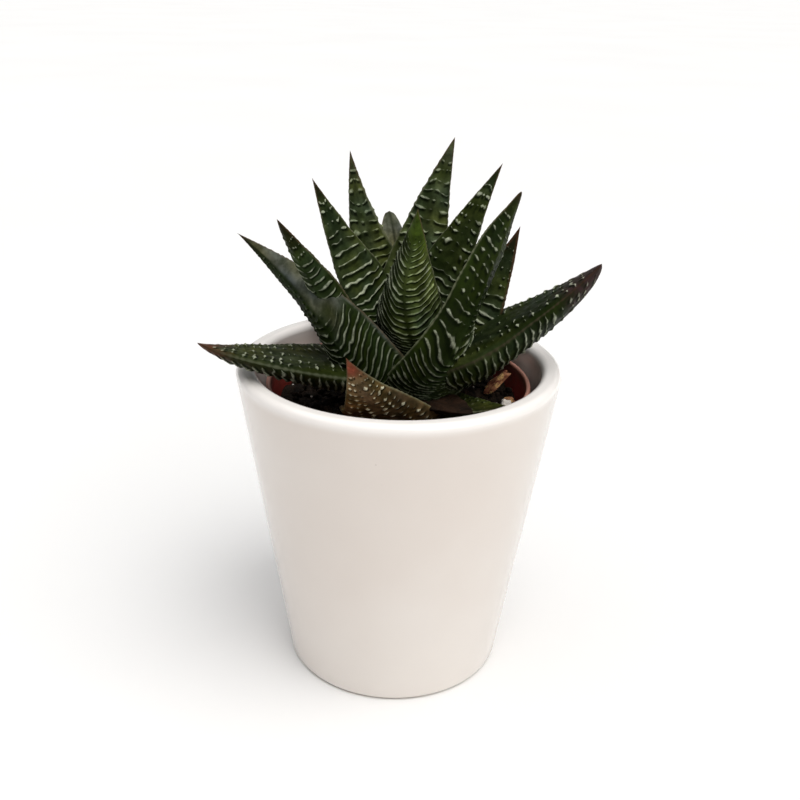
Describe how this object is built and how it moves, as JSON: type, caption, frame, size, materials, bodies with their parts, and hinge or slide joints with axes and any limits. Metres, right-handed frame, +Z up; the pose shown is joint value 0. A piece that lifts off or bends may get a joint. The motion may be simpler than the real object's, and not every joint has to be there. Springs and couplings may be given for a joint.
{
  "type": "potted haworthia",
  "caption": "Small zebra succulent rosette with pointed, keeled, white-ridged leaves, rooted in soil in a plastic nursery pot inside a tapered white glazed ceramic pot.",
  "frame": {"origin": "centre of the ceramic pot's flat underside", "axes": "+Z up along the pot's axis; the side seen in the picture faces -Y, with +X to its right"},
  "size_m": [0.0946, 0.085, 0.1351],
  "materials": {
    "white_glaze": "gloss",
    "terracotta_plastic": "satin",
    "soil": "matte",
    "stem": "matte",
    "leaf": "satin",
    "young_leaf": "satin",
    "dried_leaf": "matte",
    "perlite": "matte",
    "bark": "matte"
  },
  "bodies": {
    "root": {"ceramic_pot": "white_glaze", "nursery_pot": "terracotta_plastic", "soil": "soil", "stem_and_roots": "stem", "heart_leaf_middle": "young_leaf", "heart_leaf_left": "young_leaf", "heart_leaf_right": "young_leaf", "leaf_front_centre": "leaf", "leaf_back_right_tall": "leaf", "leaf_back_left_tall": "leaf", "leaf_right_tall": "leaf", "leaf_left_tall": "leaf", "leaf_back_short": "leaf", "leaf_left_upper": "leaf", "leaf_right_upper": "leaf", "leaf_front_right": "leaf", "leaf_front_left": "leaf", "leaf_back_right": "leaf", "leaf_right_outer": "leaf", "leaf_left_outer": "leaf", "leaf_back_left": "leaf", "leaf_back_outer": "leaf", "leaf_back_right_low": "leaf", "leaf_front_low": "leaf", "leaf_front_right_low": "leaf", "dried_leaf": "dried_leaf", "perlite_right": "perlite", "perlite_left": "perlite", "bark_right": "bark", "bark_right_small": "bark"}
  },
  "joints": []
}
